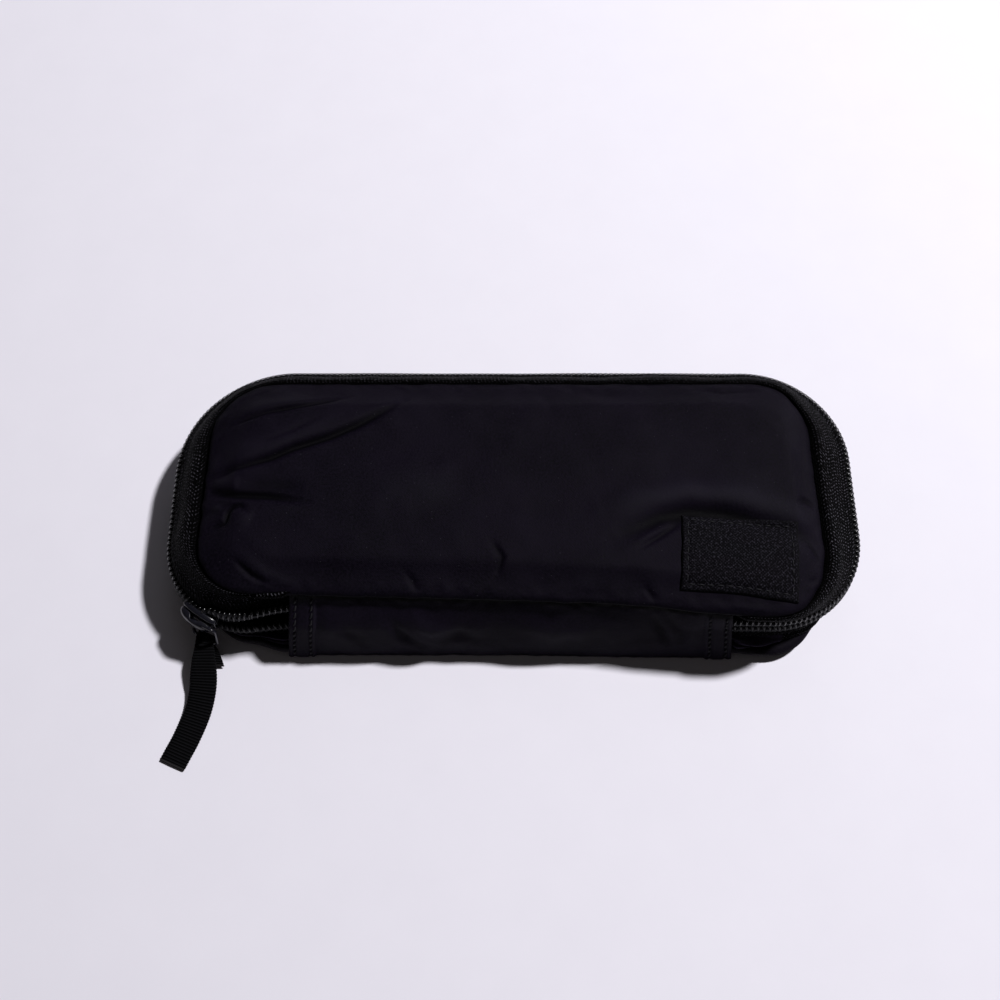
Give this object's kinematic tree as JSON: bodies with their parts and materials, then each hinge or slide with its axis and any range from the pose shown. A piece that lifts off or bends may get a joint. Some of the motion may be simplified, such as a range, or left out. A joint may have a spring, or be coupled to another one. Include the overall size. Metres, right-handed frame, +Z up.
{
  "type": "headphone carrying case",
  "caption": "Small padded fabric case with a zipper round three sides, a fabric spine, a label patch and a webbing pull, for headphones.",
  "frame": {"origin": "on the surface the case lies on, under the middle of the line that the zipper follows", "axes": "+X along the case towards the label's end, +Y from the spine to the back, +Z up"},
  "size_m": [0.182, 0.1078, 0.0252],
  "materials": {
    "shell_fabric": "nylon weave, slight sheen",
    "foam": "closed cell foam",
    "lining_fabric": "brushed",
    "zipper_tape": "herringbone weave",
    "zipper_coil": "glossy",
    "binding": "ribbed binding tape",
    "thread": "polyester thread",
    "label_fabric": "tight woven label",
    "slider_paint": "glossy black paint",
    "spring_steel": "plain",
    "webbing": "ribbed grosgrain"
  },
  "bodies": {
    "base": {"base_cover": "shell_fabric", "base_foam_pad": "foam", "base_lining": "lining_fabric", "base_seam_binding": "binding", "base_zipper_tape": "zipper_tape", "base_zipper_coil": "zipper_coil", "base_coil_slider_end": "zipper_coil"},
    "spine": {"spine_cover": "shell_fabric", "spine_foam": "foam", "spine_lining": "lining_fabric", "spine_end_stitching": "thread"},
    "lid": {"lid_cover": "shell_fabric", "lid_foam_pad": "foam", "lid_lining": "lining_fabric", "lid_seam_binding": "binding", "lid_zipper_tape": "zipper_tape", "lid_tape_slider_end": "zipper_tape", "lid_zipper_coil": "zipper_coil", "lid_coil_right_end": "zipper_coil", "lid_coil_slider_end": "zipper_coil", "label_patch": "label_fabric", "label_stitching": "thread"},
    "slider": {"slider_body": "slider_paint", "slider_cap": "slider_paint", "slider_lock_spring": "spring_steel"},
    "link": {"pull_link": "slider_paint"},
    "ribbon": {"pull_ribbon": "webbing"}
  },
  "joints": [
    {"name": "spine_fold", "type": "hinge", "parent": "base", "child": "spine", "pos_m": [0, -0.0395, 0.0017], "axis": [1, 0, 0], "range_deg": [0, 90]},
    {"name": "lid_fold", "type": "hinge", "parent": "spine", "child": "lid", "pos_m": [0, -0.0338, 0.0213], "axis": [1, 0, 0], "range_deg": [0, 90], "deforming": ["lid_tape_slider_end", "lid_coil_slider_end", "lid_coil_right_end"]},
    {"name": "slider_travel", "type": "hinge", "parent": "base", "child": "slider", "pos_m": [-0.067, -0.0136, 0.011], "axis": [0, 0, 1], "range_deg": [-38, 20], "deforming": ["base_coil_slider_end"]},
    {"name": "link_swing", "type": "hinge", "parent": "slider", "child": "link", "pos_m": [-0.0826, -0.03588, 0.011], "axis": [0, 0, 1], "range_deg": [-110, 2]},
    {"name": "ribbon_lift", "type": "hinge", "parent": "link", "child": "ribbon", "pos_m": [-0.07895, -0.03774, 0.0046], "axis": [-0.891, 0.454, 0], "range_deg": [0, 40]}
  ]
}
